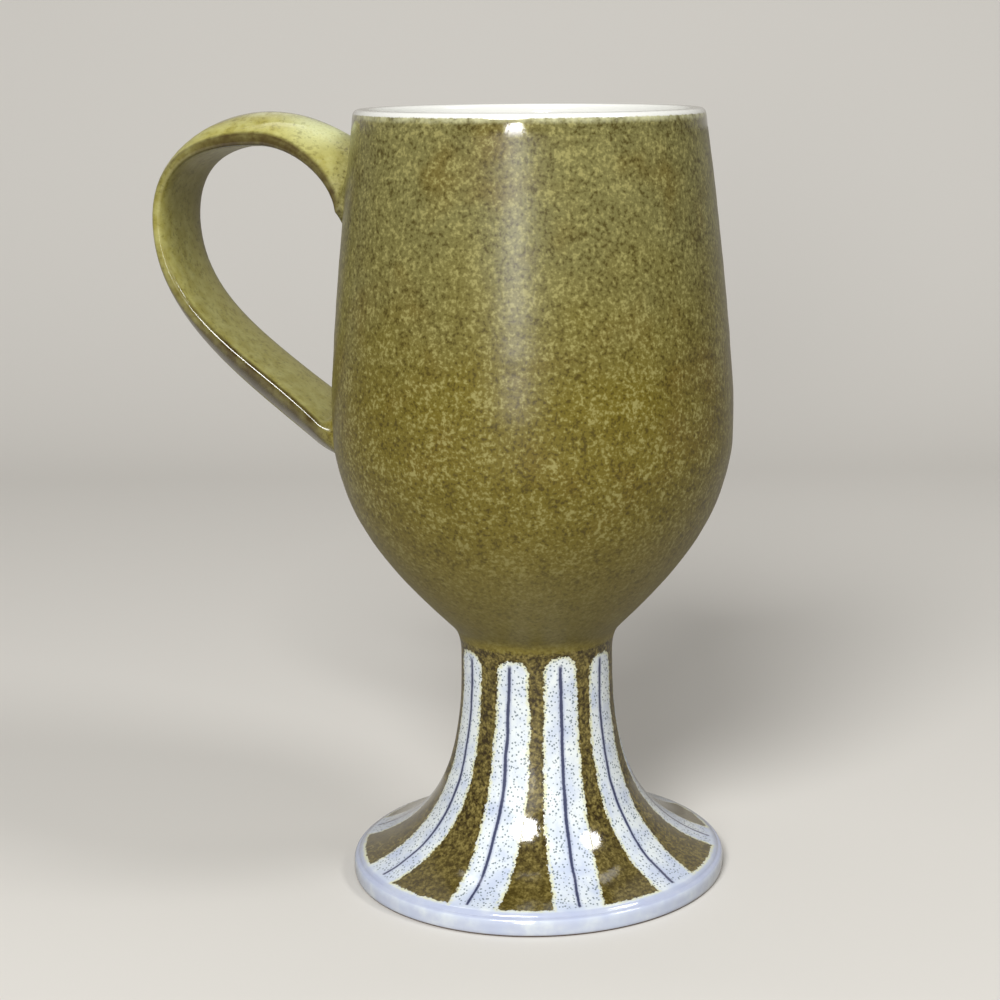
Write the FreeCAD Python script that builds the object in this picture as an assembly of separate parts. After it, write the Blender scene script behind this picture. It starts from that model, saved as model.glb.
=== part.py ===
import FreeCAD, Part
import math
import os

# Pedestal mug in glazed stoneware, fired as one piece: a deep round-bottomed bowl, a hollow flared
# pedestal under it, and a pulled strap handle. Millimetres, +Z up. The origin is on the axis of the
# bowl, in the plane of the foot ring, and the handle stands out towards -X.

# Heights, stacked from the foot ring upwards
foot_edge_height = 3.4       # plain band round the foot
foot_step_height = 0.8       # small groove between the band and the flared top of the foot
waist_rise = 41.8            # from that groove up to the narrowest place of the pedestal
neck_rise = 6.3              # from the narrowest place up to where the bowl starts
belly_rise = 42.2            # from the start of the bowl up to its widest place
wall_rise = 58.7             # from the widest place up to the shoulder of the lip
lip_rise = 1.8               # the rounded lip above that shoulder

# Outer radii
foot_radius = 38.4
waist_radius = 15.4
bowl_start_radius = 17.3
belly_radius = 39.9
rim_radius = 34.2

# Edge of the foot, measured inwards from its largest radius
foot_top_inset = 1.3         # where the flared top ends
foot_groove_inset = 1.0      # bottom of the small groove
foot_band_inset = 0.35       # upper corner of the band
foot_ring_chamfer = 0.8      # outer edge of the ring that the mug rests on

# Walls
lip_thickness = 3.2
belly_wall = 3.8
floor_rise = 6.2             # from the start of the bowl up to the middle of its floor
floor_thickness = 7.5        # between the bowl's floor and the hollow in the pedestal
pedestal_wall = 4.4
foot_ring_width = 5.0
foot_ring_round = 1.2        # rounded inner edge of the foot ring
hollow_dome_rise = 9.0       # height of the rounded top of the hollow

# Slopes, in degrees
wall_taper = 7.0             # lean of the wall under the lip, from the vertical
bowl_start_slope = 45.0      # slope of the bowl where it leaves the pedestal
foot_slope = 16.0            # fall of the foot's top surface at its edge
hollow_slope = 24.0          # fall of the hollow's surface at the foot ring

# Fullness of the turned curves: the length of each end tangent as a share of the chord
wall_fullness = (0.41, 0.20)
bowl_fullness = (0.376, 0.376)
neck_fullness = (0.30, 0.50)
foot_fullness = (0.464, 0.38)
floor_fullness = (0.42, 0.43)
hollow_fullness = (0.477, 0.39)
dome_fullness = (0.50, 0.50)

# Strap handle, by its centre line
upper_joint_drop = 17.0      # from the top of the lip down to the upper joint
lower_joint_rise = 35.0      # from the start of the bowl up to the lower joint
handle_reach = 41.2          # from the wall at the upper joint out to the farthest place
handle_reach_drop = 23.6     # from the top of the lip down to the farthest place
crown_reach = 20.7           # from the wall at the upper joint out to the highest place
crown_drop = 4.4             # from the top of the lip down to the highest place
upper_joint_angle = 62.0     # rise of the handle where it leaves the wall
lower_joint_angle = 40.0     # fall of the handle where it comes back to the wall
joint_depth = 2.4            # how far the centre line runs on into the wall
rise_fullness = (0.38, 0.42)
bend_fullness = (0.434, 0.32)
return_fullness = (0.314, 0.363)

# Strap section
strap_width = 15.0
upper_thickness = 9.5        # at the upper joint
crown_thickness = 6.6        # at the highest place
bend_thickness = 5.6         # at the farthest place
lower_thickness = 7.8        # at the lower joint
strap_squareness = 2.6       # 2 is an ellipse, more is a flatter strap with rounded edges
flare_width = 7.0            # added to the width at the joints
flare_thickness = 4.0        # added to the thickness at the joints
flare_length = 14.0          # distance over which the flare fades out
sections_per_curve = 6
points_per_section = 16

# Places that follow from the sizes above
foot_top_height = foot_edge_height + foot_step_height
waist_height = foot_top_height + waist_rise
bowl_start_height = waist_height + neck_rise
belly_height = bowl_start_height + belly_rise
shoulder_height = belly_height + wall_rise
total_height = shoulder_height + lip_rise
floor_height = bowl_start_height + floor_rise
hollow_top_height = floor_height - floor_thickness
hollow_neck_height = hollow_top_height - hollow_dome_rise
hollow_neck_radius = waist_radius - pedestal_wall
ring_outer_radius = foot_radius - foot_ring_chamfer
ring_inner_radius = ring_outer_radius - foot_ring_width
hollow_foot_radius = ring_inner_radius - foot_ring_round


def direction(degrees):
    """Unit step out from the axis and up, at an angle above the horizontal."""
    return math.cos(math.radians(degrees)), math.sin(math.radians(degrees))


def curve_poles(start, start_angle, end, end_angle, fullness):
    """Poles of a cubic curve between two places (radius, height), with a direction at each end."""
    chord = math.dist(start, end)
    out_r, out_z = direction(start_angle)
    in_r, in_z = direction(end_angle)
    first, last = fullness[0] * chord, fullness[1] * chord
    return [
        start,
        (start[0] + first * out_r, start[1] + first * out_z),
        (end[0] - last * in_r, end[1] - last * in_z),
        end,
    ]


def curve_point(poles, t):
    """Place and direction on a cubic curve."""
    weights = ((1 - t) ** 3, 3 * t * (1 - t) ** 2, 3 * t * t * (1 - t), t ** 3)
    slopes = (-3 * (1 - t) ** 2, 3 * (1 - t) * (1 - 3 * t), 3 * t * (2 - 3 * t), 3 * t * t)
    place = tuple(sum(w * p[axis] for w, p in zip(weights, poles)) for axis in (0, 1))
    step = tuple(sum(w * p[axis] for w, p in zip(slopes, poles)) for axis in (0, 1))
    length = math.hypot(*step)
    return place, (step[0] / length, step[1] / length)


def quarter_round(start, size):
    """Middle of a quarter round that runs inwards and up from a place on the ground."""
    step = size * direction(45)[0]
    return start[0] - step, start[1] + size - step


def in_plane(place):
    return FreeCAD.Vector(place[0], 0, place[1])


def curve_edge(poles):
    curve = Part.BezierCurve()
    curve.setPoles([in_plane(p) for p in poles])
    return curve.toShape()


def line_edge(start, end):
    return Part.LineSegment(in_plane(start), in_plane(end)).toShape()


def arc_edge(start, middle, end):
    return Part.Arc(in_plane(start), in_plane(middle), in_plane(end)).toShape()


# Places on the turned profile, as (radius, height)
lip_shoulder = (rim_radius, shoulder_height)
lip_crest = (rim_radius - lip_thickness / 2, total_height)
lip_inside = (rim_radius - lip_thickness, shoulder_height)
belly = (belly_radius, belly_height)
belly_inside = (belly_radius - belly_wall, belly_height)
floor_middle = (0, floor_height)
bowl_start = (bowl_start_radius, bowl_start_height)
waist = (waist_radius, waist_height)
foot_top = (foot_radius - foot_top_inset, foot_top_height)
foot_groove = (foot_radius - foot_groove_inset, foot_edge_height + foot_step_height / 3)
band_top = (foot_radius - foot_band_inset, foot_edge_height)
band_middle = (foot_radius, foot_edge_height / 2)
band_bottom = (foot_radius - foot_band_inset, foot_ring_chamfer / 2)
ring_outside = (ring_outer_radius, 0)
ring_inside = (ring_inner_radius, 0)
ring_round = quarter_round(ring_inside, foot_ring_round)
hollow_foot = (hollow_foot_radius, foot_ring_round)
hollow_neck = (hollow_neck_radius, hollow_neck_height)
hollow_top = (0, hollow_top_height)

# Turned curves, each running down the outside or up the inside
wall_curve = curve_poles(lip_shoulder, wall_taper - 90, belly, -90, wall_fullness)
bowl_curve = curve_poles(belly, -90, bowl_start, bowl_start_slope - 180, bowl_fullness)
neck_curve = curve_poles(bowl_start, bowl_start_slope - 180, waist, -90, neck_fullness)
foot_curve = curve_poles(waist, -90, foot_top, -foot_slope, foot_fullness)
hollow_curve = curve_poles(hollow_foot, 180 - hollow_slope, hollow_neck, 90, hollow_fullness[::-1])
dome_curve = curve_poles(hollow_neck, 90, hollow_top, 180, dome_fullness)
floor_curve = curve_poles(floor_middle, 0, belly_inside, 90, floor_fullness[::-1])
inner_wall_curve = curve_poles(belly_inside, 90, lip_inside, 90 + wall_taper, wall_fullness[::-1])


def turn(edges):
    """Solid turned about the axis from a closed half profile."""
    face = Part.Face(Part.Wire(edges))
    return face.revolve(FreeCAD.Vector(0, 0, 0), FreeCAD.Vector(0, 0, 1), 360)


def turned_body():
    """Bowl and pedestal in one wall: down the outside, under the foot and up into the bowl."""
    foot_edge = [
        arc_edge(foot_top, foot_groove, band_top),
        arc_edge(band_top, band_middle, band_bottom),
        line_edge(band_bottom, ring_outside),
    ]
    outside = [curve_edge(c) for c in (wall_curve, bowl_curve, neck_curve, foot_curve)]
    underside = [
        line_edge(ring_outside, ring_inside),
        arc_edge(ring_inside, ring_round, hollow_foot),
        curve_edge(hollow_curve),
        curve_edge(dome_curve),
        line_edge(hollow_top, floor_middle),
    ]
    inside = [curve_edge(floor_curve), curve_edge(inner_wall_curve)]
    lip = [arc_edge(lip_inside, lip_crest, lip_shoulder)]
    return turn(outside + foot_edge + underside + inside + lip)


def bowl_space():
    """The space inside the bowl, up to the shoulder of the lip."""
    shoulder_middle = (0, shoulder_height)
    return turn([
        curve_edge(floor_curve),
        curve_edge(inner_wall_curve),
        line_edge(lip_inside, shoulder_middle),
        line_edge(shoulder_middle, floor_middle),
    ])


def wall_radius(height):
    """Outer radius of the bowl at a height, found by halving on the curve that spans it."""
    poles = wall_curve if height > belly_height else bowl_curve
    low, high = 0.0, 1.0
    for _ in range(40):
        middle = (low + high) / 2
        if curve_point(poles, middle)[0][1] > height:
            low = middle
        else:
            high = middle
    return curve_point(poles, low)[0][0]


def handle_curves():
    """Centre line of the strap in three curves: up to the crown, over it, and back to the wall."""
    upper_height = total_height - upper_joint_drop
    lower_height = bowl_start_height + lower_joint_rise
    upper_radius = wall_radius(upper_height)
    up_r, up_z = direction(upper_joint_angle)
    down_r, down_z = direction(lower_joint_angle)
    start = (upper_radius - joint_depth * up_r, upper_height - joint_depth * up_z)
    crown = (upper_radius + crown_reach, total_height - crown_drop)
    farthest = (upper_radius + handle_reach, total_height - handle_reach_drop)
    end = (
        wall_radius(lower_height) - joint_depth * down_r,
        lower_height - joint_depth * down_z,
    )
    return [
        curve_poles(start, upper_joint_angle, crown, 0, rise_fullness),
        curve_poles(crown, 0, farthest, -90, bend_fullness),
        curve_poles(farthest, -90, end, lower_joint_angle - 180, return_fullness),
    ]


def superellipse(angle, half_width, half_thickness):
    power = 2 / strap_squareness
    across, out = math.cos(angle), math.sin(angle)
    return (
        math.copysign(abs(across) ** power, across) * half_width,
        math.copysign(abs(out) ** power, out) * half_thickness,
    )


def strap_section(place, heading, thickness, to_joint):
    """Closed section across the strap, wider and thicker near a joint."""
    flare = max(0.0, 1 - to_joint / flare_length) ** 2
    half_width = (strap_width + flare_width * flare) / 2
    half_thickness = (thickness + flare_thickness * flare) / 2
    points = []
    for i in range(points_per_section):
        across, out = superellipse(2 * math.pi * i / points_per_section, half_width, half_thickness)
        radius = place[0] - out * heading[1]
        height = place[1] + out * heading[0]
        points.append(FreeCAD.Vector(-radius, across, height))
    outline = Part.BSplineCurve()
    outline.interpolate(Points=points, PeriodicFlag=True)
    return Part.Wire(outline.toShape())


def strap_stations():
    """Place, direction and thickness at each section, with an even swing between thicknesses."""
    thicknesses = (upper_thickness, crown_thickness, bend_thickness, lower_thickness)
    stations = []
    for number, poles in enumerate(handle_curves()):
        before, after = thicknesses[number], thicknesses[number + 1]
        first = 0 if number == 0 else 1
        for i in range(first, sections_per_curve + 1):
            t = i / sections_per_curve
            swing = t * t * (3 - 2 * t)
            stations.append((*curve_point(poles, t), before + (after - before) * swing))
    return stations


def strap_handle():
    """The strap, lofted through sections along its centre line and trimmed at the bowl's inside."""
    stations = strap_stations()
    travelled = [0.0]
    for before, after in zip(stations, stations[1:]):
        travelled.append(travelled[-1] + math.dist(before[0], after[0]))
    sections = [
        strap_section(place, heading, thickness, min(along, travelled[-1] - along))
        for (place, heading, thickness), along in zip(stations, travelled)
    ]
    return Part.makeLoft(sections, True, False).cut(bowl_space())


def pedestal_mug():
    return turned_body().fuse(strap_handle()).removeSplitter()


os.makedirs("parts", exist_ok=True)
mug = pedestal_mug()
print("solids", len(mug.Solids), "valid", mug.isValid(), "volume cm3", round(mug.Volume / 1000, 1))
print("box", mug.BoundBox)
mug.exportStep("parts/pedestal_mug.step")
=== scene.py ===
import math

import bmesh
import bpy
from mathutils import Matrix, Vector


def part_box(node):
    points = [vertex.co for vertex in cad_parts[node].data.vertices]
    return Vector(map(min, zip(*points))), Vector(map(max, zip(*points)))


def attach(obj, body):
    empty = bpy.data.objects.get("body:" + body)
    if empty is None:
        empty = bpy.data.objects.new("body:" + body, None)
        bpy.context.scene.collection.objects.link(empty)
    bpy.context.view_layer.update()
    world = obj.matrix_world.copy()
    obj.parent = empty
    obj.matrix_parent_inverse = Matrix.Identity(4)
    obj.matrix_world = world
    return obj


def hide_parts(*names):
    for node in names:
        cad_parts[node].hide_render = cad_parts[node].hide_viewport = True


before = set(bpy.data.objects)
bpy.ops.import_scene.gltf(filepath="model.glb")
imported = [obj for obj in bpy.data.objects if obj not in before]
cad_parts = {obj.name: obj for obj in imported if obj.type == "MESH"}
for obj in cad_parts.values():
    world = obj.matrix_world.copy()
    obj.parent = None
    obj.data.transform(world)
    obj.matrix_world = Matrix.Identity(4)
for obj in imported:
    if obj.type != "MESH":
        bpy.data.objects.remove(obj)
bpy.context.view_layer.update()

mugLow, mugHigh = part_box("pedestal_mug")
mm = 0.001


def report(stage):
    print("mug scene:", stage)


# Node trees, for shapes and for materials alike

class Wiring:
    # a thin layer over a node tree, so that a formula in nodes reads as a formula
    def __init__(self, tree):
        self.tree = tree

    def feed(self, socket, value):
        if isinstance(value, bpy.types.NodeSocket):
            self.tree.links.new(value, socket)
        else:
            socket.default_value = value

    def add(self, kind, feeds=None, **settings):
        node = self.tree.nodes.new(kind)
        for name, value in settings.items():
            setattr(node, name, value)
        for key, value in (feeds or {}).items():
            self.feed(node.inputs[key], value)
        return node

    def math(self, operation, *values):
        feeds = dict(enumerate(values))
        return self.add("ShaderNodeMath", feeds, operation=operation).outputs[0]

    def plus(self, a, b):
        return self.math("ADD", a, b)

    def minus(self, a, b):
        return self.math("SUBTRACT", a, b)

    def times(self, a, b):
        return self.math("MULTIPLY", a, b)

    def either(self, a, b):
        return self.math("MAXIMUM", a, b)

    def without(self, a):
        return self.math("SUBTRACT", 1.0, a)

    def ease(self, value, low, high, start=0.0, end=1.0):
        # start below low, end above high, and an even swing between
        feeds = {0: value, 1: low, 2: high, 3: start, 4: end}
        return self.add("ShaderNodeMapRange", feeds, interpolation_type="SMOOTHSTEP").outputs[0]

    def noise(self, place, size, detail=2.0, roughness=0.5, offset=(0.0, 0.0, 0.0)):
        # size is the width of a blotch, in the units of the place; the result is about -1 to 1
        moved = self.add("ShaderNodeVectorMath", {0: place, 1: offset}, operation="ADD").outputs[0]
        feeds = {"Vector": moved, "Scale": 1.0 / size, "Detail": detail, "Roughness": roughness}
        raw = self.add("ShaderNodeTexNoise", feeds).outputs[0]
        return self.math("MULTIPLY_ADD", raw, 3.2, -1.6)

    def blend(self, share, first, second):
        node = self.add("ShaderNodeMix", data_type="RGBA")
        self.feed(node.inputs[0], share)
        self.feed(node.inputs[6], first)
        self.feed(node.inputs[7], second)
        return node.outputs[2]

    def blendValue(self, share, first, second):
        return self.add("ShaderNodeMix", {0: share, 2: first, 3: second}).outputs[0]


def paint(red, green, blue):
    # a colour as it looks on a screen, from 0 to 255, as the light it stands for
    def light(level):
        level /= 255
        return level / 12.92 if level <= 0.04045 else ((level + 0.055) / 1.055) ** 2.4
    return (light(red), light(green), light(blue), 1.0)


# The turned body. Millimetres; radii and heights follow the frame's box.

height = (mugHigh.z - mugLow.z) / mm
bellyRadius = mugHigh.y / mm

body = {
    "around": 192,              # columns of faces round the axis
    "rowSpacing": 1.15,         # between rows of faces up the wall
    "fineSpacing": 0.28,        # between rows where the foot's edge and the lip are small
    "waistSpacing": 0.8,
    "insideStretch": 1.3,       # how much wider the rows are inside the bowl
    "footRadius": 38.4,
    "footEdge": 3.4,
    "footTop": 4.2,
    "edgeMiddle": 0.45,         # share of the edge's height at which it is widest
    "footTopInset": 1.3,        # how far the flare's start stands back from the foot's edge
    "grooveInset": 0.95,        # and the groove between the two, and how high it lies over the edge
    "grooveRise": 0.25,
    "waistRadius": 15.4,
    "waist": 46.0,
    "bowlStartRadius": 17.3,
    "bowlStart": 52.3,
    "belly": 94.5,
    "lipStart": height - 3.7,   # where the wall starts to round over into the lip
    "shoulder": height - 1.8,   # and where the inside does
    "rimRadius": 34.2,
    "lipSwell": 0.2,            # how much wider the wall is where the lip starts
    "lip": 3.2,
    "bellyWall": 3.8,
    "floor": 58.5,
    "hollowTop": 51.0,
    "hollowNeck": 42.0,
    "hollowNeckRadius": 11.0,
    "ringWidth": 5.0,
    "ringRound": 1.2,
    "ringChamfer": 0.8,
    "throwingDepth": 0.05,      # how far the throwing rings stand in and out
    "throwingPitch": 6.5,       # their spacing up the wall
    "unevenness": 0.18,         # how far the hand-thrown form strays from a true round
    "wanderReach": 0.035,       # how fast that changes round the mug and up it
    "wanderScale": 16.0,
    "ringsFrom": (8, 12),       # height at which both start, and over how much they grow
    "ringsUpTo": (2, 8),        # how far below the rim they end, and over how much they fade
    "ringsFromAxis": 10,        # and over how much from the middle of the floor
    "liningSplit": 0.55,        # share of the wall that tells its outside from its inside
    "hollowSplit": 2.0,         # and how far in that is on the pedestal and on the foot ring
    "ringSplit": 3.5,
}
noiseSwing = 4          # a soft noise strays from its middle by about a quarter
fineSteps = 400         # straight steps in which a curve is measured


def cubic(start, startAngle, end, endAngle, fullness):
    # cubic curve between two places (radius, height), with a direction in degrees at each end
    chord = math.dist(start, end)
    leave, arrive = math.radians(startAngle), math.radians(endAngle)
    poles = (
        start,
        (start[0] + fullness[0] * chord * math.cos(leave), start[1] + fullness[0] * chord * math.sin(leave)),
        (end[0] - fullness[1] * chord * math.cos(arrive), end[1] - fullness[1] * chord * math.sin(arrive)),
        end,
    )

    def at(t):
        weights = ((1 - t) ** 3, 3 * t * (1 - t) ** 2, 3 * t * t * (1 - t), t ** 3)
        return tuple(sum(w * p[axis] for w, p in zip(weights, poles)) for axis in (0, 1))
    return at


footTopPlace = (body["footRadius"] - body["footTopInset"], body["footTop"])
waistPlace = (body["waistRadius"], body["waist"])
bowlStartPlace = (body["bowlStartRadius"], body["bowlStart"])
bellyPlace = (bellyRadius, body["belly"])
lipStartPlace = (body["rimRadius"] + body["lipSwell"], body["lipStart"])
outsideFoot = cubic(footTopPlace, 164, waistPlace, 90, (0.38, 0.464))
outsideBowl = cubic(bowlStartPlace, 45, bellyPlace, 90, (0.376, 0.376))
outsideWall = cubic(bellyPlace, 90, lipStartPlace, 97, (0.20, 0.41))


def evenSteps(curve, spacing):
    # places along a curve at an even spacing, without its first one
    fine = [curve(i / fineSteps) for i in range(fineSteps + 1)]
    travelled = [0.0]
    for before, after in zip(fine, fine[1:]):
        travelled.append(travelled[-1] + math.dist(before, after))
    count = max(1, round(travelled[-1] / spacing))
    places, cursor = [], 0
    for k in range(1, count + 1):
        goal = travelled[-1] * k / count
        while cursor < fineSteps - 1 and travelled[cursor + 1] < goal:
            cursor += 1
        share = (goal - travelled[cursor]) / (travelled[cursor + 1] - travelled[cursor])
        before, after = fine[cursor], fine[cursor + 1]
        places.append(tuple(before[axis] + share * (after[axis] - before[axis]) for axis in (0, 1)))
    return places


def bodyProfile():
    # from the top of the hollow, under the foot, up the outside, over the lip and down to the floor
    b = body
    wide, fine = b["rowSpacing"], b["fineSpacing"]
    foot = b["footRadius"]
    ring = foot - b["ringChamfer"]
    inner = ring - b["ringWidth"]
    rim, lip = b["rimRadius"], b["lip"]
    neck = (b["hollowNeckRadius"], b["hollowNeck"])
    hollowFoot = (inner - b["ringRound"], b["ringRound"])
    bellyIn = (bellyRadius - b["bellyWall"], b["belly"])
    edge = (foot, b["footEdge"] * b["edgeMiddle"])
    groove = (foot - b["grooveInset"], b["footEdge"] + b["grooveRise"])
    crest = (rim - lip / 2, height)
    shoulder = (rim - lip, b["shoulder"])
    roomy = wide * b["insideStretch"]
    legs = [
        (cubic((0, b["hollowTop"]), 0, neck, -90, (0.5, 0.5)), wide, None),
        (cubic(neck, -90, hollowFoot, -24, (0.39, 0.477)), wide, None),
        (cubic(hollowFoot, -80, (inner, 0), 0, (0.3, 0.5)), fine, None),
        (cubic((inner, 0), 0, (ring, 0), 0, (0.33, 0.33)), wide, None),
        (cubic((ring, 0), 0, edge, 90, (0.5, 0.4)), fine, None),
        (cubic(edge, 90, groove, 178, (0.5, 0.4)), fine, None),
        (cubic(groove, 178, footTopPlace, 140, (0.4, 0.4)), fine, None),
        (outsideFoot, wide, "outside"),
        (cubic(waistPlace, 90, bowlStartPlace, 45, (0.50, 0.30)), b["waistSpacing"], "outside"),
        (outsideBowl, wide, "outside"),
        (outsideWall, wide, "outside"),
        (cubic(lipStartPlace, 97, crest, 180, (0.62, 0.42)), fine, None),
        (cubic(crest, 180, shoulder, -97, (0.55, 0.55)), fine, "inside"),
        (cubic(shoulder, -83, bellyIn, -90, (0.41, 0.20)), roomy, "inside"),
        (cubic(bellyIn, -90, (0, b["floor"]), 180, (0.43, 0.42)), roomy, "inside"),
    ]
    places, sides = [(0.0, b["hollowTop"])], [None]
    for curve, spacing, side in legs:
        steps = evenSteps(curve, spacing)
        places += steps
        sides += [side] * len(steps)
    places[-1] = (0.0, b["floor"])
    return places, sides


def profileObject(places, sides):
    mesh = bpy.data.meshes.new("mugProfile")
    steps = [(i, i + 1) for i in range(len(places) - 1)]
    mesh.from_pydata([(r * mm, 0, z * mm) for r, z in places], steps, [])
    thrown = mesh.attributes.new("thrown", "FLOAT", "POINT")
    (start, growth), (end, ebb) = body["ringsFrom"], body["ringsUpTo"]
    for i, ((r, z), side) in enumerate(zip(places, sides)):
        # the rings fade out at the foot's edge, at the lip and at the floor
        grow = min(1, max(0, (z - start) / growth))
        fade = min(1, max(0, (height - end - z) / ebb))
        thrown.data[i].value = grow * fade * min(1, r / body["ringsFromAxis"]) if side else 0
    return bpy.data.objects.new("mugProfile", mesh)


def turnedBodyTree():
    tree = bpy.data.node_groups.new("turnedBody", "GeometryNodeTree")
    face = tree.interface
    for name, kind in (("Profile", "Object"), ("Columns", "Int"), ("Ring Depth", "Float"),
                       ("Ring Pitch", "Float"), ("Unevenness", "Float"), ("Wander Reach", "Float"),
                       ("Wander Scale", "Float"), ("Glaze", "Material")):
        face.new_socket(name, in_out="INPUT", socket_type="NodeSocket" + kind)
    face.new_socket("Mesh", in_out="OUTPUT", socket_type="NodeSocketGeometry")
    w = Wiring(tree)
    given = w.add("NodeGroupInput").outputs
    profile = w.add("GeometryNodeObjectInfo", {"Object": given["Profile"]}).outputs["Geometry"]
    rows = w.add("GeometryNodeAttributeDomainSize", {"Geometry": profile}).outputs["Point Count"]
    grid = w.add("GeometryNodeMeshGrid", {"Vertices X": w.plus(given["Columns"], 1.0), "Vertices Y": rows})
    index = w.add("GeometryNodeInputIndex").outputs[0]
    column = w.math("FLOOR", w.math("DIVIDE", w.plus(index, 0.5), rows))
    row = w.minus(index, w.times(column, rows))

    def fromProfile(value, kind):
        node = w.add("GeometryNodeSampleIndex", {"Geometry": profile, "Index": row}, data_type=kind)
        w.feed(node.inputs["Value"], value)
        return node.outputs["Value"]
    place = fromProfile(w.add("GeometryNodeInputPosition").outputs[0], "FLOAT_VECTOR")
    thrownName = w.add("GeometryNodeInputNamedAttribute", {"Name": "thrown"}, data_type="FLOAT")
    thrown = fromProfile(thrownName.outputs["Attribute"], "FLOAT")
    parts = w.add("ShaderNodeSeparateXYZ", {0: place}).outputs
    ringNoise = w.add("ShaderNodeTexNoise", {"W": w.math("DIVIDE", parts["Z"], given["Ring Pitch"]),
                                             "Scale": 1.0, "Detail": 1.0}, noise_dimensions="1D").outputs[0]
    angle = w.times(w.math("DIVIDE", column, given["Columns"]), math.tau)
    flat = w.add("ShaderNodeCombineXYZ", {0: w.math("COSINE", angle), 1: w.math("SINE", angle)}).outputs[0]
    drift = w.add("ShaderNodeVectorMath", {0: flat}, operation="SCALE")
    w.feed(drift.inputs["Scale"], given["Wander Reach"])
    lifted = w.add("ShaderNodeCombineXYZ", {2: parts["Z"]}).outputs[0]
    around = w.add("ShaderNodeVectorMath", {0: drift.outputs[0], 1: lifted}, operation="ADD").outputs[0]
    wander = w.add("ShaderNodeTexNoise", {"Vector": around, "Scale": given["Wander Scale"],
                                          "Detail": 0.0}).outputs[0]
    swell = w.plus(w.times(w.minus(ringNoise, 0.5), given["Ring Depth"]),
                   w.times(w.minus(wander, 0.5), given["Unevenness"]))
    radius = w.plus(parts["X"], w.times(swell, thrown))
    turned = w.add("ShaderNodeCombineXYZ", {0: w.times(radius, w.math("COSINE", angle)),
                                            1: w.times(radius, w.math("SINE", angle)), 2: parts["Z"]})
    shaped = w.add("GeometryNodeSetPosition",
                   {"Geometry": grid.outputs["Mesh"], "Position": turned.outputs[0]})
    real = w.add("GeometryNodeRealizeInstances", {"Geometry": shaped.outputs[0]})
    finished = w.add("GeometryNodeSetMaterial", {"Geometry": real.outputs[0], "Material": given["Glaze"]})
    out = w.add("NodeGroupOutput")
    w.feed(out.inputs[0], finished.outputs[0])
    return tree


def runTree(tree, values):
    # a plain mesh from a node tree that is fed by the names of its inputs
    holder = bpy.data.objects.new("holder", bpy.data.meshes.new("holder"))
    bpy.context.scene.collection.objects.link(holder)
    modifier = holder.modifiers.new("shape", "NODES")
    modifier.node_group = tree
    for item in tree.interface.items_tree:
        if item.item_type == "SOCKET" and item.in_out == "INPUT":
            modifier[item.identifier] = values[item.name]
    bpy.context.view_layer.update()
    shaped = holder.evaluated_get(bpy.context.evaluated_depsgraph_get())
    mesh = bpy.data.meshes.new_from_object(shaped)
    holder.modifiers.remove(modifier)
    bpy.data.objects.remove(holder)
    return mesh


def radiusOn(curve, z):
    # radius at a height, on a curve that climbs steadily
    low, high = 0.0, 1.0
    for _ in range(16):         # halvings
        middle = (low + high) / 2
        if curve(middle)[1] < z:
            low = middle
        else:
            high = middle
    return curve(low)[0]


def outsideRadius(z):
    return radiusOn(outsideWall if z >= body["belly"] else outsideBowl, z)


def innerRadius(z):
    # between the two faces of the wall
    if z < body["floor"] - 1:
        return 0.0
    if z < body["belly"]:
        return outsideRadius(z) - body["bellyWall"] * body["liningSplit"]
    if z < body["shoulder"]:
        return outsideRadius(z) - body["lip"] * body["liningSplit"]
    return body["rimRadius"] - body["lip"] / 2


def hollowRadius(z):
    # between the pedestal's outside and its hollow
    if z > body["hollowTop"] + 1:
        return 0.0
    if z < body["footTop"]:
        return body["footRadius"] - body["ringSplit"]
    return radiusOn(outsideFoot, z) - body["hollowSplit"]


# The handle: a pulled strap between two outlines, that of its crowned outer face and that of its
# flat face next to the fingers. The places are (distance from the axis, height).

handle = {
    "outer": [(34.3, 147.0), (55.7, 154.1), (81.1, 131.5), (43.0, 84.9)],
    "outerAngles": [29.6, 0, -90, -146.2],
    "outerFullness": [(0.363, 0.378), (0.347, 0.446), (0.328, 0.461)],
    "inner": [(35.7, 132.0), (54.7, 147.4), (76.4, 131.7), (40.6, 91.6)],
    "innerAngles": [92.2, 0, -90, -141.3],
    "innerFullness": [(0.296, 0.337), (0.656, 0.342), (0.337, 0.431)],
    "edges": [2.6, 2.7, 3.3, 3.2],      # thickness of the strap's edges at those four places
    "rings": [16, 18, 28],      # sections along each of the three stretches
    "width": 17.4,
    "squareness": [5.0, 4.6, 3.0, 4.8],     # 2 is round, more has tighter corners
    "flareWidths": (8.0, 2.5),              # at the upper joint and at the lower one
    "flareLength": 17.0,
    "upperStart": 0.12,         # how far along its first stretch the strap stands free of the wall
    "lowerEnd": 0.965,          # and how far along its last one it meets the wall's blend
    "half": 10,                 # half the faces along each side of the patch where it joins the wall
    "blendRings": 9,
    # height of each joint, and how far its blend reaches across the wall and up it
    "upperJoint": {"centre": 138.9, "acrossReach": 13.4, "upReach": 11.4},
    "lowerJoint": {"centre": 88.4, "acrossReach": 11.4, "upReach": 7.8},
    "spread": 5,                # rows round a patch over which the wall's faces ease back to even
    "edgeFrom": 0.88,           # how far across the strap its edges start to go brown and glossier, and how softly: partly the glaze breaking over the edge, partly painted shade on the side that faces down
    "edgeBlend": 0.07,
    "paintedShadeBelow": 0.24,          # how much earlier it starts under the lower run, this far past the bend: painted shade where the strap's side faces down
    "paintedShadeBelowReach": 25.0,
    "edgeAtBend": 0.08,         # how strong the brown and glossy edge is at the bend itself, and how far from it that wears off
    "edgeReach": 32.0,
    "joinsAbove": 76.0,         # the wall below this height and in front of this place has no handle
    "joinsBehind": 30.0,
    "proud": 0.5,               # how far out a place counts as handle, and is all handle
    "clear": 5.0,
}


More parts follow.
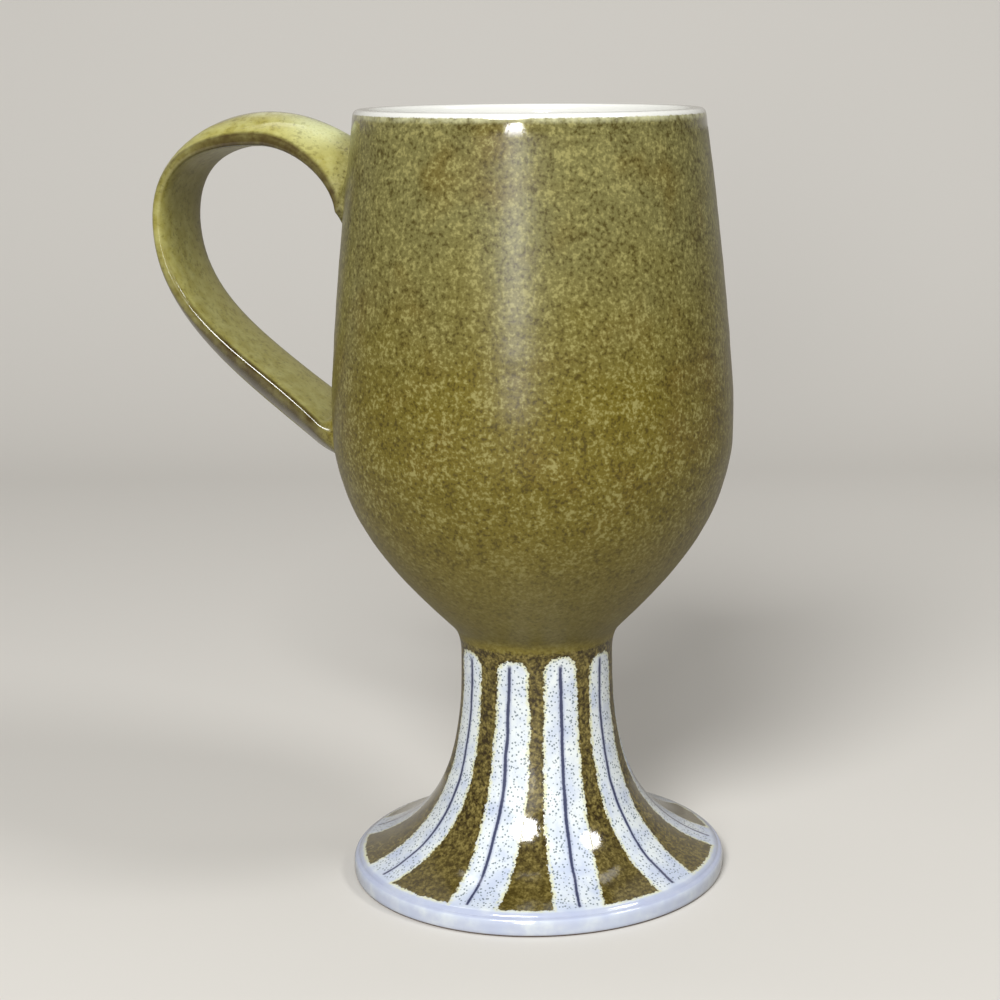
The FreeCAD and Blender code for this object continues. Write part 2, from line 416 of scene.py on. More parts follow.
def strapStretches():
    # the stretch of the outline and the place in it for each section of the strap
    stations = []
    for i, count in enumerate(handle["rings"]):
        low = handle["upperStart"] if i == 0 else 0.0
        high = handle["lowerEnd"] if i == 2 else 1.0
        first = 0 if i == 0 else 1
        stations += [(i, low + (high - low) * k / count) for k in range(first, count + 1)]
    return stations


def outlinePlace(side, stretch, t):
    corners, angles, fullness = handle[side], handle[side + "Angles"], handle[side + "Fullness"]
    after = stretch + 1
    return cubic(corners[stretch], angles[stretch], corners[after], angles[after], fullness[stretch])(t)


def roundedQuarter(count, squareness):
    # unit steps (across, through) round a quarter of a squared oval, closer where it bends more
    power = 2 / squareness
    turns = [math.pi / 2 * i / fineSteps for i in range(fineSteps)]
    fine = [(math.cos(turn) ** power, math.sin(turn) ** power) for turn in turns]
    fine.append((0.0, 1.0))
    length = [0.0]
    turned = [0.0]
    heading = math.pi / 2
    for before, after in zip(fine, fine[1:]):
        length.append(length[-1] + math.dist(before, after))
        now = math.atan2(after[1] - before[1], after[0] - before[0])
        turned.append(turned[-1] + abs(now - heading))
        heading = now
    weight = [l / length[-1] + t / turned[-1] for l, t in zip(length, turned)]
    places, cursor = [], 0
    for k in range(count):
        while weight[cursor] < weight[-1] * k / count:
            cursor += 1
        places.append(fine[cursor])
    return places


def unitSection(squareness):
    # once round: the far edge, the outer face, the near edge and the flat face
    quarter = roundedQuarter(2 * handle["half"], squareness)
    back = [(0.0, 1.0)] + quarter[:0:-1]
    ring = [(c, s) for c, s in quarter]
    ring += [(-c, s) for c, s in back]
    ring += [(-c, -s) for c, s in quarter]
    ring += [(c, -s) for c, s in back]
    return ring


def strapRings():
    h = handle
    stations = strapStretches()
    outer = [outlinePlace("outer", i, t) for i, t in stations]
    inner = [outlinePlace("inner", i, t) for i, t in stations]
    edges, squares = ([h[key][i] + (h[key][i + 1] - h[key][i]) * t for i, t in stations]
                      for key in ("edges", "squareness"))
    middles = [((o[0] + i[0]) / 2, (o[1] + i[1]) / 2) for o, i in zip(outer, inner)]
    travelled = [0.0]
    for before, after in zip(middles, middles[1:]):
        travelled.append(travelled[-1] + math.dist(before, after))
    rings = []
    for o, i, edge, square, along, station in zip(outer, inner, edges, squares, travelled, stations):
        below = station[0] == 2
        flare = sum(width * max(0, 1 - toJoint / h["flareLength"]) ** 2
                    for width, toJoint in zip(h["flareWidths"], (along, travelled[-1] - along)))
        halfWidth = (h["width"] + flare) / 2
        toBend = math.dist(o, h["outer"][2])
        edgeWeight = min(1.0, h["edgeAtBend"] + toBend / h["edgeReach"])
        thickness = math.dist(o, i)
        crown = max(0, thickness - edge)
        ring = []
        for across, through in unitSection(square):
            depth = edge * (1 + through) / 2
            if through > 0:
                depth += crown * (1 - across * across) * through
            share = depth / thickness
            radius = i[0] + (o[0] - i[0]) * share
            up = i[1] + (o[1] - i[1]) * share
            earlier = 0.0
            # under the lower run the brown edge starts earlier: painted shade where the strap's side faces
            # down
            if below and through > 0:
                earlier = h["paintedShadeBelow"] * min(1.0, toBend / h["paintedShadeBelowReach"])
            edgeShare = min(1.0, max(0.0, (abs(across) - h["edgeFrom"] + earlier) / h["edgeBlend"]))
            ring.append((Vector((-radius * mm, across * halfWidth * mm, up * mm)), edgeShare * edgeWeight))
        rings.append(ring)
    return rings


def squareWalk(half):
    # the 8 * half grid places round a square, from the middle of one side, as (across, up)
    places = [(half, k) for k in range(0, half)]
    places += [(half - k, half) for k in range(0, 2 * half)]
    places += [(-half, half - k) for k in range(0, 2 * half)]
    places += [(-half + k, -half) for k in range(0, 2 * half)]
    places += [(half, -half + k) for k in range(0, half)]
    return places


class Wall:
    # the turned mesh as columns and rows, with the outside wall's radius at any height
    def __init__(self, bm, rows, columns, sides):
        bm.verts.ensure_lookup_table()
        self.verts, self.rows, self.columns = list(bm.verts), rows, columns
        self.outside = [r for r in range(rows) if sides[r] == "outside"]
        self.back = columns // 2
        line = [self.vert(self.back, r).co for r in self.outside]
        self.line = [(co.z, co.xy.length) for co in line]

    def vert(self, column, row):
        return self.verts[column * self.rows + row]

    def radius(self, z):
        line = self.line
        for (z0, r0), (z1, r1) in zip(line, line[1:]):
            if z0 <= z <= z1:
                return r0 + (r1 - r0) * (z - z0) / (z1 - z0)
        return line[-1][1]

    def place(self, across, z):
        # a place on the wall on the handle's side, by arc length across and by height
        radius = self.radius(z)
        turn = math.pi - across / radius
        return Vector((radius * math.cos(turn), radius * math.sin(turn), z))

    def rowAt(self, z):
        nearest = min(range(len(self.line)), key=lambda i: abs(self.line[i][0] - z))
        return self.outside[nearest]


def openPatch(bm, wall, joint):
    # eases the wall's grid round an oval and takes out the faces inside it; gives the oval's loop
    # and the way outwards in the surface at each of its places
    half, spread = handle["half"], handle["spread"]
    centre = joint["centre"] * mm
    middleRow = wall.rowAt(centre)
    reach = (joint["acrossReach"] * mm, joint["upReach"] * mm)
    step = (math.tau * wall.radius(centre) / wall.columns, body["rowSpacing"] * mm)
    outsideRows = set(wall.outside)
    for level in range(spread):
        share = 1 - level / spread
        share = share * share * (3 - 2 * share)
        walk = squareWalk(half + level)
        for k, (across, up) in enumerate(walk):
            row = middleRow + up
            if row not in outsideRows or row + 1 not in outsideRows:
                continue
            turn = math.tau * k / len(walk)
            vert = wall.vert(wall.back - across, row)
            even = (across * step[0], vert.co.z)
            oval = ((reach[0] + level * step[0]) * math.cos(turn),
                    centre + (reach[1] + level * step[1]) * math.sin(turn))
            vert.co = wall.place(even[0] + share * (oval[0] - even[0]), even[1] + share * (oval[1] - even[1]))
    loop = [wall.vert(wall.back - across, middleRow + up) for across, up in squareWalk(half)]
    centrePlace = wall.place(0, centre)
    outward = []
    for vert in loop:
        almostThere = centrePlace.lerp(vert.co, 0.97)
        onWall = wall.place(almostThere.y, almostThere.z)
        outward.append((vert.co - onWall).normalized())
    inside = {wall.vert(wall.back - across, middleRow + up)
              for across in range(-half + 1, half) for up in range(-half + 1, half)}
    bmesh.ops.delete(bm, geom=list(inside), context="VERTS")
    return loop, outward


def bridge(bm, firstRing, secondRing):
    count = len(firstRing)
    for k in range(count):
        after = (k + 1) % count
        bm.faces.new((firstRing[k], firstRing[after], secondRing[after], secondRing[k]))


def joinToWall(bm, edgeLayer, strapRing, flow, loop, outward):
    # rings that run off the strap along its own flow and land along the wall
    count = handle["blendRings"]
    rings = [strapRing]
    for step in range(1, count):
        t = step / count
        h00, h10 = 2 * t ** 3 - 3 * t ** 2 + 1, t ** 3 - 2 * t ** 2 + t
        h01, h11 = -2 * t ** 3 + 3 * t ** 2, t ** 3 - t ** 2
        ring = []
        for k, (start, end) in enumerate(zip(strapRing, loop)):
            size = (end.co - start.co).length
            co = h00 * start.co + h10 * size * flow[k] + h01 * end.co + h11 * size * outward[k]
            vert = bm.verts.new(co)
            vert[edgeLayer] = start[edgeLayer] * (1 - t) ** 2
            ring.append(vert)
        rings.append(ring)
    rings.append(loop)
    for first, second in zip(rings, rings[1:]):
        bridge(bm, first, second)


def buildMug(glaze):
    places, sides = bodyProfile()
    profile = profileObject(places, sides)
    columns = body["around"]
    mesh = runTree(turnedBodyTree(), {
        "Profile": profile, "Columns": columns, "Ring Depth": body["throwingDepth"] * mm * noiseSwing,
        "Ring Pitch": body["throwingPitch"] * mm, "Unevenness": body["unevenness"] * mm * noiseSwing,
        "Wander Reach": body["wanderReach"], "Wander Scale": body["wanderScale"], "Glaze": glaze})
    bpy.data.objects.remove(profile)
    rows = len(places)
    report("turned body, %d rows of %d faces" % (rows, columns))
    bm = bmesh.new()
    bm.from_mesh(mesh)
    # 1 on the strap's two long edges; a layer has to be there before any place in the mesh is kept
    edgeLayer = bm.verts.layers.float.new("edge")
    wall = Wall(bm, rows, columns, sides)
    upperLoop, upperOut = openPatch(bm, wall, handle["upperJoint"])
    lowerLoop, lowerOut = openPatch(bm, wall, handle["lowerJoint"])
    rings = strapRings()
    made = []                   # the strap's rings, as places in the mesh
    for ring in rings:
        made.append([bm.verts.new(co) for co, share in ring])
        for vert, (co, share) in zip(made[-1], ring):
            vert[edgeLayer] = share
    for first, second in zip(made, made[1:]):
        bridge(bm, first, second)
    upperFlow = [(a.co - b.co).normalized() for a, b in zip(made[0], made[1])]
    lowerFlow = [(a.co - b.co).normalized() for a, b in zip(made[-1], made[-2])]
    joinToWall(bm, edgeLayer, made[0], upperFlow, upperLoop, upperOut)
    count = len(lowerLoop)
    mirrored = [(-k) % count for k in range(count)]     # the strap has turned over on its way down
    joinToWall(bm, edgeLayer, made[-1], lowerFlow,
               [lowerLoop[k] for k in mirrored], [lowerOut[k] for k in mirrored])
    bmesh.ops.remove_doubles(bm, verts=bm.verts, dist=1e-6)
    bmesh.ops.recalc_face_normals(bm, faces=bm.faces)
    for face in bm.faces:
        face.smooth = True
        face.material_index = 0
    markGlaze(bm)
    bm.to_mesh(mesh)
    openEdges = sum(1 for e in bm.edges if len(e.link_faces) != 2)
    bm.free()
    mesh.name = "pedestalMug"
    mesh.materials.clear()
    mesh.materials.append(glaze)
    mug = bpy.data.objects.new("pedestal_mug_glazed", mesh)
    bpy.context.scene.collection.objects.link(mug)
    report("mug with handle, %d faces, %d open edges" % (len(mesh.polygons), openEdges))
    return mug


def markGlaze(bm):
    # what the glaze follows besides height and the strap's edges: strap is 1 on the handle, hollow
    # is 1 under the pedestal, and lining is 1 inside the bowl
    layers = {name: bm.verts.layers.float.new(name) for name in ("strap", "hollow", "lining")}
    for vert in bm.verts:
        x, y, z = vert.co / mm
        radius = math.hypot(x, y)
        if radius < innerRadius(z):
            vert[layers["lining"]] = 1.0 if z > body["floor"] - 1 else 0.0
            continue
        vert[layers["hollow"]] = 1.0 if radius < hollowRadius(z) else 0.0
        out = radius - outsideRadius(z) if z > handle["joinsAbove"] else 0.0
        if x < -handle["joinsBehind"] and out > handle["proud"]:
            vert[layers["strap"]] = min(1.0, out / handle["clear"])


# The glaze

glazeLook = {
    "oliveTop": paint(119, 114, 67),
    "oliveBelly": paint(111, 99, 30),
    "oliveLow": paint(128, 115, 48),
    "oliveWarm": paint(106, 86, 22),
    "oliveDark": paint(66, 54, 10),
    "olivePale": paint(164, 157, 98),
    "strap": paint(162, 154, 77),
    "strapPale": paint(186, 182, 112),
    # painted shade and reflection of the bowl, greying the strap's far side
    "strapShade": paint(162, 154, 96),
    # pale glaze on the strap's crown with a painted reflection of the light from above
    "mintGlazeAndSheen": paint(214, 220, 172),
    "mintSheenPlace": (-44.0, 0.0, 151.0),       # where the strap is palest, next to its upper joint: paler glaze with a painted reflection of the light from above
    # brown: the glaze breaking over the strap's edges, with painted shade where their side faces down; also
    # the brown just over the painted pedestal
    "brown": paint(62, 47, 22),
    "band": paint(94, 82, 38),
    "bandDark": paint(44, 32, 6),
    "bandPale": paint(142, 128, 72),
    "slip": paint(236, 243, 243),
    "slipCool": paint(200, 211, 233),
    "cream": paint(226, 226, 182),
    "navy": paint(48, 54, 88),
    "halo": paint(182, 190, 214),
    "dot": paint(96, 112, 120),
    "edgeBand": paint(198, 206, 228),
    # painted shade in the groove over the foot's edge
    "groove": paint(176, 184, 212),
    "lining": paint(236, 236, 230),
    "clay": paint(120, 96, 74),
    # each painted stripe: azimuth of its line on the stem and at the edge of the foot, how far the
    # slip reaches to the left and to the right of the line on the stem, and the height of its top
    "stripes": [
        (-84, -86, 3.4, 3.6, 47.8),
        (-38, -41.5, 4.4, 3.1, 48.2),
        (-1.5, -3.2, 2.7, 4.2, 47.9),
        (38, 32.5, 3.4, 3.5, 48.7),
        (74.7, 68, 3.1, 4.3, 47.8),
        (116, 111, 3.4, 3.6, 48.1),
        (155, 152, 3.6, 3.2, 48.4),
        (195, 194, 3.2, 3.7, 47.9),
        (234, 234, 3.5, 3.4, 48.3),
    ],
    "stemRadius": 15.5,
    "footReach": 1.5,           # how much further the slip reaches at the edge of the foot
    "stripeRound": 3.1,         # radius of the slip's rounded tops
    "bandEndRadius": 36.0,      # where the dark bands end at the foot, and the lines a little before
    "lineEndRadius": 35.9,
    "lineWidth": 0.72,
    "lineWidthFoot": 0.60,
    "dotSpacing": 0.66,
    "lipBreak": 154.1,          # height at which the olive breaks to the pale lip
    "speckSize": 0.85,
    "blotchSize": 2.4,
    # what follows a height or a noise: two values, and what the swing between them goes from and to
    "topSwing": (92.0, 140.0),              # from the belly's olive to the top's
    "lowSwing": (58.0, 88.0),               # from the round bottom's olive to the belly's
    "livelySwing": (54.0, 84.0, 0.45, 1.0), # how strong the mottle is, up the bowl
    "dullSwing": (62.0, 92.0),              # from the dull bottom to the satin bowl
    "warmSwing": (-0.1, 1.0, 0.0, 0.6),     # patches of warmer olive
    "paleSwing": (0.0, 0.66, 0.0, 0.72),    # pale and dark mottle on the bowl
    "darkSwing": (-0.72, 0.0, 0.80, 0.0),
    "bandPaleSwing": (0.0, 0.55, 0.0, 0.9), # and on the pedestal's bands
    "bandDarkSwing": (-0.50, 0.05, 0.95, 0.0),
    "neckSwing": (53.5, 58.0, 0.10, 0.0),   # brown just over the painted pedestal
    "bareSwing": (0.25, 0.55, 1.0, 0.0),    # bare clay under the foot ring
    "lineTopSwing": (46.2, 47.4, 1.0, 0.0), # top of the dark lines
    "satin": 0.31,              # roughness of the bowl, of its round bottom, and of the rest
    "dull": 0.46,
    "glassy": 0.12,
    "skinRoughness": 0.06,      # of the glassy skin on the foot, the lip and the strap's edges
    "skinWeight": 0.8,
    "skinIor": 1.55,
    "glazeIor": 1.45,
    "clayRoughness": 0.85,
    "footGloss": (17.5, 21.0, 1.0, 0.12),   # the skin wears off between these heights, from and to
    "lipGloss": 151.5,          # and starts again at this one
    "paintedUpTo": 49.6,        # where the painted pedestal ends
    "relief": 0.009,            # depth of the glaze's pits and ripples
    "slipRelief": 0.05,         # how far the slip stands up
}


class Glaze(Wiring):
    # the places and masks that the glaze's coats share
    def __init__(self, tree):
        super().__init__(tree)
        place = self.add("ShaderNodeTexCoord").outputs["Object"]
        scaled = self.add("ShaderNodeVectorMath", {0: place}, operation="SCALE")
        scaled.inputs["Scale"].default_value = 1 / mm
        self.place = scaled.outputs[0]
        self.x, self.y, self.z = self.add("ShaderNodeSeparateXYZ", {0: self.place}).outputs[:3]
        self.radius = self.math("SQRT", self.plus(self.times(self.x, self.x), self.times(self.y, self.y)))
        self.azimuth = self.math("ARCTAN2", self.x, self.times(self.y, -1.0))
        self.speck = self.noise(self.place, glazeLook["speckSize"], 2.0, 0.6, (11.0, 3.0, 7.0))
        self.grain = self.noise(self.place, 0.45, 1.0, 0.5, (31.0, 8.0, 2.0))
        self.blotch = self.noise(self.place, glazeLook["blotchSize"], 3.0, 0.6)
        self.cloud = self.noise(self.place, 18.0, 2.0, 0.5, (3.0, 40.0, 9.0))
        wavy = self.noise(self.place, 1.5, 1.0)
        self.ragged = self.plus(self.times(self.grain, 0.30), self.times(wavy, 0.26))

    def layer(self, name):
        return self.add("ShaderNodeAttribute", attribute_name=name).outputs["Fac"]

    def sharp(self, value, at, width=0.1):
        return self.ease(value, at - width, at + width)


def stripeCoat(w):
    # colour of the pedestal, and how much of it is the raised pale slip
    g = glazeLook
    corner = g["stripeRound"]
    spread = w.math("DIVIDE", w.minus(w.radius, g["stemRadius"]), g["bandEndRadius"] - g["stemRadius"])
    spread = w.math("SQRT", w.math("MINIMUM", w.either(spread, 0.0), 1.0))
    grow = w.blendValue(spread, 1.0, g["footReach"])
    foot = w.ease(w.z, 4.0, 20.0, 1.0, 0.0)
    sway = w.times(w.noise(w.place, 9.0, 1.0, 0.5, (60.0, 0.0, 0.0)), 0.30)
    depth, toLine = -9.0, 9.0
    for stem, edge, left, right, top in g["stripes"]:
        line = w.blendValue(spread, math.radians(stem), math.radians(edge))
        turn = w.math("WRAP", w.minus(w.azimuth, line), math.pi, -math.pi)
        across = w.plus(w.times(turn, w.radius), sway)
        inside = w.math("MINIMUM", w.plus(across, w.times(grow, left)), w.minus(w.times(grow, right), across))
        beside = w.either(w.minus(corner, inside), 0.0)
        above = w.either(w.plus(w.z, corner - top), 0.0)
        rounded = w.minus(corner, w.math("SQRT", w.plus(w.times(beside, beside), w.times(above, above))))
        depth = w.either(depth, w.math("MINIMUM", rounded, inside))
        toLine = w.math("MINIMUM", toLine, w.math("ABSOLUTE", across))
    depth = w.plus(depth, w.ragged)
    pastBand = w.plus(w.minus(w.radius, g["bandEndRadius"]), w.times(w.ragged, 0.8))
    nearEdge = w.times(w.sharp(w.radius, 30.5), w.ease(w.z, 12.0, 13.0, 1.0, 0.0))
    depth = w.blendValue(nearEdge, depth, w.either(depth, pastBand))
    rim = w.times(w.ease(w.z, 4.6, 4.9, 1.0, 0.0), w.sharp(w.radius, 36.4, 0.3))
    slipMask = w.either(w.sharp(depth, 0.0, 0.14), rim)

    cool = w.plus(w.noise(w.place, 5.0, 2.0), w.times(foot, 0.5))
    slip = w.blend(w.ease(cool, -0.5, 1.1), g["slip"], g["slipCool"])
    slip = w.blend(w.times(w.sharp(w.noise(w.place, 0.9, 2.0), 0.45, 0.5), 0.35), slip, g["slipCool"])
    fringe = w.times(w.ease(depth, 0.1, 0.95, 0.9, 0.0), w.ease(w.noise(w.place, 1.3), -1.0, 0.4))
    slip = w.blend(fringe, slip, g["cream"])
    cells = w.add("ShaderNodeTexVoronoi", {"Vector": w.place, "Scale": 1 / g["dotSpacing"]})
    dots = w.plus(cells.outputs["Distance"], w.times(w.grain, 0.03))
    dots = w.times(w.ease(dots, 0.22, 0.36, 0.85, 0.0), w.sharp(w.z, 4.6))
    slip = w.blend(dots, slip, g["dot"])
    width = w.blendValue(foot, g["lineWidth"] / 2, g["lineWidthFoot"] / 2)
    width = w.plus(width, w.times(w.noise(w.place, 2.0), 0.06))
    line = w.minus(width, toLine)
    onLine = w.times(w.ease(w.z, *g["lineTopSwing"]),
                     w.ease(w.radius, g["lineEndRadius"] - 0.4, g["lineEndRadius"], 1.0, 0.0))
    slip = w.blend(w.times(onLine, w.ease(line, -0.60, 0.0, 0.0, 0.7)), slip, g["halo"])
    brushed = w.plus(line, w.times(w.grain, 0.06))
    slip = w.blend(w.times(onLine, w.ease(brushed, -0.12, 0.14, 0.0, 0.95)), slip, g["navy"])
    edgeBand = w.blend(w.ease(w.noise(w.place, 3.0, 2.0), -0.9, 0.9), g["edgeBand"], slip)
    slip = w.blend(w.ease(w.z, 3.6, 4.3, 0.85, 0.0), slip, edgeBand)
    # painted shade: the groove over the foot's edge is tinted darker
    groove = w.times(w.ease(w.z, 3.2, 3.5), w.ease(w.z, 4.2, 4.8, 1.0, 0.0))
    groove = w.times(w.ease(w.radius, 36.2, 36.9), groove)
    slip = w.blend(w.times(groove, 0.6), slip, g["groove"])

    mottle = w.plus(w.times(w.speck, 0.9), w.plus(w.times(w.blotch, 0.35), w.times(w.grain, 0.35)))
    strong = w.blendValue(foot, 1.0, 0.62)
    band = w.blend(w.times(w.ease(mottle, *g["bandDarkSwing"]), strong), g["band"], g["bandDark"])
    band = w.blend(w.times(w.ease(mottle, *g["bandPaleSwing"]), strong), band, g["bandPale"])
    return w.blend(slipMask, band, slip), slipMask


def oliveCoat(w):
    # colour of the bowl and the handle
    g = glazeLook
    upTheWall = w.ease(w.plus(w.z, w.times(w.cloud, 14.0)), *g["topSwing"])
    base = w.blend(upTheWall, g["oliveBelly"], g["oliveTop"])
    warm = w.plus(w.cloud, w.times(w.noise(w.place, 7.0, 1.0, 0.5, (9.0, 1.0, 5.0)), 0.5))
    base = w.blend(w.ease(warm, *g["warmSwing"]), base, g["oliveWarm"])
    offTheBottom = w.ease(w.plus(w.z, w.times(w.cloud, 8.0)), *g["lowSwing"])
    base = w.blend(offTheBottom, g["oliveLow"], base)
    onStrap = w.layer("strap")
    strap = w.blend(w.ease(w.blotch, -0.6, 0.8), g["strap"], g["strapPale"])
    # painted shade and reflection of the bowl: the strap greys towards its far side
    strap = w.blend(w.ease(w.y, -3.0, 8.0, 0.0, 0.75), strap, g["strapShade"])
    base = w.blend(onStrap, base, strap)
    # painted reflection: the strap's crown goes pale mint next to its upper joint, over a paler glaze
    toMintSheen = w.add("ShaderNodeVectorMath", {0: w.place, 1: g["mintSheenPlace"]}, operation="DISTANCE")
    toMintSheen = w.plus(toMintSheen.outputs["Value"], w.times(w.blotch, 1.5))
    base = w.blend(w.times(onStrap, w.ease(toMintSheen, 2.0, 11.0, 0.75, 0.0)), base, g["mintGlazeAndSheen"])
    lively = w.blendValue(onStrap, w.ease(w.z, *g["livelySwing"]), 0.45)
    mottle = w.plus(w.times(w.speck, 0.90), w.plus(w.times(w.blotch, 0.24), w.times(w.grain, 0.32)))
    mottle = w.plus(mottle, w.times(w.noise(w.place, 5.0, 1.0, 0.5, (9.0, 1.0, 5.0)), 0.26))
    base = w.blend(w.times(w.ease(mottle, *g["paleSwing"]), lively), base, g["olivePale"])
    base = w.blend(w.times(w.ease(mottle, *g["darkSwing"]), lively), base, g["oliveDark"])
    # painted shade: the strap's edges go brown, most where their side faces down, along with the glaze
    # breaking darker over them
    edge = w.times(w.layer("edge"), w.ease(w.blotch, -0.9, 0.9, 0.95, 0.75))
    base = w.blend(edge, base, g["brown"])
    neck = w.times(w.ease(w.z, 50.5, 52.5), w.ease(w.z, *g["neckSwing"]))
    return w.blend(neck, base, g["brown"])


def glazeMaterial():
    g = glazeLook
    material = bpy.data.materials.new("speckledGlaze")
    material.use_nodes = True
    tree = material.node_tree
    tree.nodes.clear()
    w = Glaze(tree)
    stripes, slipMask = stripeCoat(w)
    bowlMask = w.sharp(w.plus(w.z, w.times(w.ragged, 1.5)), g["paintedUpTo"], 0.5)
    colour = w.blend(bowlMask, stripes, oliveCoat(w))
    lipEdge = w.plus(w.z, w.times(w.ragged, 0.35))
    thin = w.ease(lipEdge, g["lipBreak"] - 1.3, g["lipBreak"] - 0.2, 0.0, 0.65)
    thin = w.times(thin, w.ease(w.blotch, -0.9, 0.5))
    colour = w.blend(thin, colour, g["cream"])
    lining = w.either(w.layer("lining"), w.sharp(lipEdge, g["lipBreak"], 0.12))
    lining = w.either(lining, w.layer("hollow"))
    colour = w.blend(lining, colour, g["lining"])
    bare = w.ease(w.z, *g["bareSwing"])
    colour = w.blend(bare, colour, g["clay"])

    ripple = w.plus(w.noise(w.place, 2.6, 1.0), w.plus(w.times(w.speck, 0.45), w.times(w.grain, 0.2)))
    raised = w.times(w.times(slipMask, w.without(bowlMask)), g["slipRelief"])
    skin = w.times(ripple, g["relief"])
    surface = w.times(w.plus(skin, raised), mm)
    bump = w.add("ShaderNodeBump", {"Height": surface, "Distance": 1.0, "Strength": 1.0})
    satin = w.blendValue(w.ease(w.z, *g["dullSwing"]), g["dull"], g["satin"])
    foot = w.times(w.without(bowlMask), w.ease(w.z, *g["footGloss"]))
    glossy = w.either(w.either(foot, w.sharp(w.z, g["lipGloss"], 1.0)), w.times(w.layer("edge"), 0.9))
    rough = w.blendValue(glossy, satin, g["glassy"])
    shader = w.add("ShaderNodeBsdfPrincipled", {
        "Base Color": colour, "Roughness": w.blendValue(bare, rough, g["clayRoughness"]),
        "Coat Weight": w.times(w.times(w.without(bare), glossy), g["skinWeight"]),
        "Coat Roughness": g["skinRoughness"], "Coat IOR": g["skinIor"],
        "Normal": bump.outputs[0], "Coat Normal": bump.outputs[0], "IOR": g["glazeIor"]})
    out = w.add("ShaderNodeOutputMaterial")
    w.feed(out.inputs["Surface"], shader.outputs[0])
    return material


# Floor, light and camera

stage = {
    "cloth": paint(222, 219, 213),
    "clothShade": paint(140, 134, 124),     # what the cloth sends back onto the mug
    "world": paint(214, 212, 208),
    "worldStrength": 0.17,
    "front": 1.3,               # metres from the mug to the front of the floor, and the sweep behind
    "back": 0.75,
    "sweep": 0.35,
    "bendSteps": 24,
    "top": 1.6,
    "side": 2.0,
    # direction round the mug and above the table in degrees, distance, width and height, power
    "lamps": {
        "windowFront": (3, 38.5, 1.2, 0.54, 0.42, 12.4),
        "windowRight": (84, 44, 1.2, 0.34, 0.30, 4.2),
        "glow": (10.5, 9.0, 1.2, 0.20, 0.34, 3.2),
    },
    "lampAim": 0.08,            # the height that they point at
    # the lamp that lights the backdrop alone: its place, what it points at, its size and its power
    "wash": ((0, 0.35, 1.5), (0, 0.95, 0.35), (1.8, 0.4), 3.4),
}

camera = {
    "azimuth": 20.0,            # degrees round the mug, the handle is towards -X
    "distance": 403.3,          # millimetres from the axis, and the height above the table
    "height": 166.2,
    "yaw": 1.87,
    "pitch": 12.44,
    "roll": -0.32,
    "focal": 2049.1,            # in pixels, and the width of the frame in pixels
    "frame": 1000,
    "shift": -0.10,
}


def clothMaterial():
    # pale to the camera and in reflections, darker in the light that it sends back
    material = bpy.data.materials.new("paleSweep")
    material.use_nodes = True
    tree = material.node_tree
    tree.nodes.clear()
    w = Wiring(tree)
    ray = w.add("ShaderNodeLightPath").outputs
    seen = w.either(ray["Is Camera Ray"], w.times(ray["Is Glossy Ray"], 0.5))
    colour = w.blend(seen, stage["clothShade"], stage["cloth"])
    shader = w.add("ShaderNodeBsdfDiffuse", {"Color": colour})
    out = w.add("ShaderNodeOutputMaterial")
    w.feed(out.inputs["Surface"], shader.outputs[0])
    return material


def makeStage():
    s = stage
    bendStart = s["back"] - s["sweep"]
    sideways = [(-s["front"], 0.0), (bendStart, 0.0)]
    for k in range(1, s["bendSteps"] + 1):
        turn = math.pi / 2 * k / s["bendSteps"]
        sideways.append((bendStart + s["sweep"] * math.sin(turn), s["sweep"] * (1 - math.cos(turn))))
    sideways.append((s["back"], s["top"]))
    verts = [(x, y, z) for y, z in sideways for x in (-s["side"], s["side"])]
    faces = [(2 * i, 2 * i + 1, 2 * i + 3, 2 * i + 2) for i in range(len(sideways) - 1)]
    mesh = bpy.data.meshes.new("sweep")
    mesh.from_pydata(verts, [], faces)
    mesh.transform(Matrix.Rotation(math.radians(camera["azimuth"]), 4, "Z"))
    for face in mesh.polygons:
        face.use_smooth = True
    sweep = bpy.data.objects.new("sweep", mesh)
    bpy.context.scene.collection.objects.link(sweep)
    mesh.materials.append(clothMaterial())


def makeWorld():
    world = bpy.data.worlds.new("softStudio")
    bpy.context.scene.world = world
    world.use_nodes = True
    tree = world.node_tree
    tree.nodes.clear()
    w = Wiring(tree)
    ray = w.add("ShaderNodeLightPath").outputs
    soft = w.add("ShaderNodeBackground", {"Color": stage["world"], "Strength": stage["worldStrength"]})
    seen = w.add("ShaderNodeBackground", {"Color": stage["cloth"], "Strength": 1.0})
    mixed = w.add("ShaderNodeMixShader", {0: ray["Is Camera Ray"], 1: soft.outputs[0], 2: seen.outputs[0]})
    out = w.add("ShaderNodeOutputWorld")
    w.feed(out.inputs[0], mixed.outputs[0])


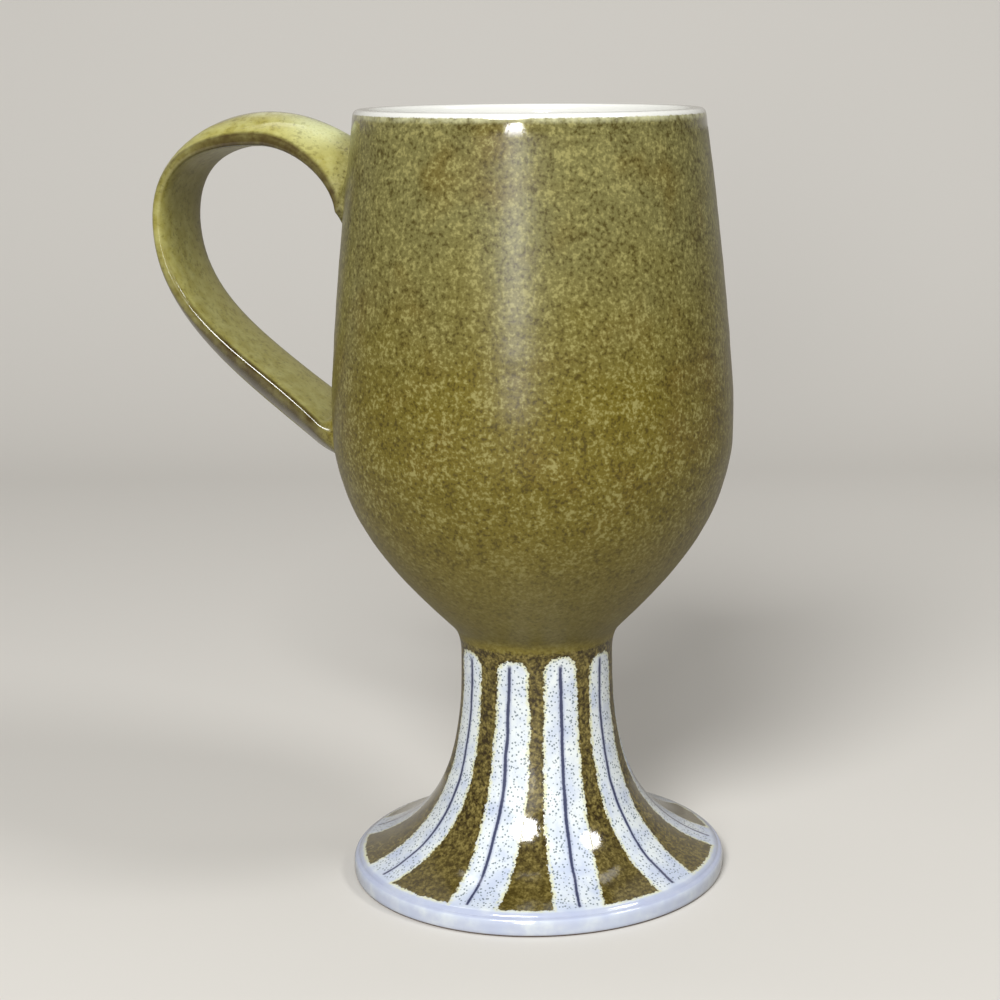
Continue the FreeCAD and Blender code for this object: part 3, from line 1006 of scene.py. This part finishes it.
def makeLamp(name, place, aim, size, power):
    lamp = bpy.data.lights.new(name, "AREA")
    lamp.shape = "ELLIPSE"
    lamp.size, lamp.size_y = size
    lamp.energy = power
    holder = bpy.data.objects.new(name, lamp)
    bpy.context.scene.collection.objects.link(holder)
    facing = (place - aim).to_track_quat("Z", "Y").to_matrix().to_4x4()
    holder.matrix_world = Matrix.Translation(place) @ facing


def makeLamps():
    middle = Vector((0, 0, stage["lampAim"]))
    for name, (azimuth, rise, distance, width, tall, power) in stage["lamps"].items():
        turn, lift = math.radians(azimuth), math.radians(rise)
        away = Vector((math.sin(turn) * math.cos(lift), -math.cos(turn) * math.cos(lift), math.sin(lift)))
        makeLamp(name, middle + distance * away, middle, (width, tall), power)
    swing = Matrix.Rotation(math.radians(camera["azimuth"]), 4, "Z")
    place, aim, size, power = stage["wash"]
    makeLamp("backWash", swing @ Vector(place), swing @ Vector(aim), size, power)


def makeCamera():
    c = camera
    lens = bpy.data.cameras.new("view")
    lens.sensor_width = 36.0
    lens.lens = lens.sensor_width * c["focal"] / c["frame"]
    lens.shift_x = c["shift"]
    lens.clip_start = 0.01
    holder = bpy.data.objects.new("view", lens)
    bpy.context.scene.collection.objects.link(holder)
    yaw, pitch, roll = (math.radians(c[key]) for key in ("yaw", "pitch", "roll"))
    ahead = Vector((math.cos(pitch) * math.sin(yaw), math.cos(pitch) * math.cos(yaw), -math.sin(pitch)))
    right = Vector((math.cos(yaw), -math.sin(yaw), 0))
    up = right.cross(ahead)
    turnedRight = math.cos(roll) * right + math.sin(roll) * up
    turnedUp = math.cos(roll) * up - math.sin(roll) * right
    axes = Matrix((turnedRight, turnedUp, -ahead)).transposed().to_4x4()
    place = Vector((0, -c["distance"] * mm, c["height"] * mm))
    swing = Matrix.Rotation(math.radians(c["azimuth"]), 4, "Z")
    holder.matrix_world = swing @ Matrix.Translation(place) @ axes
    bpy.context.scene.camera = holder


glaze = glazeMaterial()
report("glaze")
mug = buildMug(glaze)
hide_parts("pedestal_mug")
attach(mug, "root")
makeStage()
makeWorld()
makeLamps()
makeCamera()
bpy.context.scene.view_settings.view_transform = "Standard"
report("stage and camera")
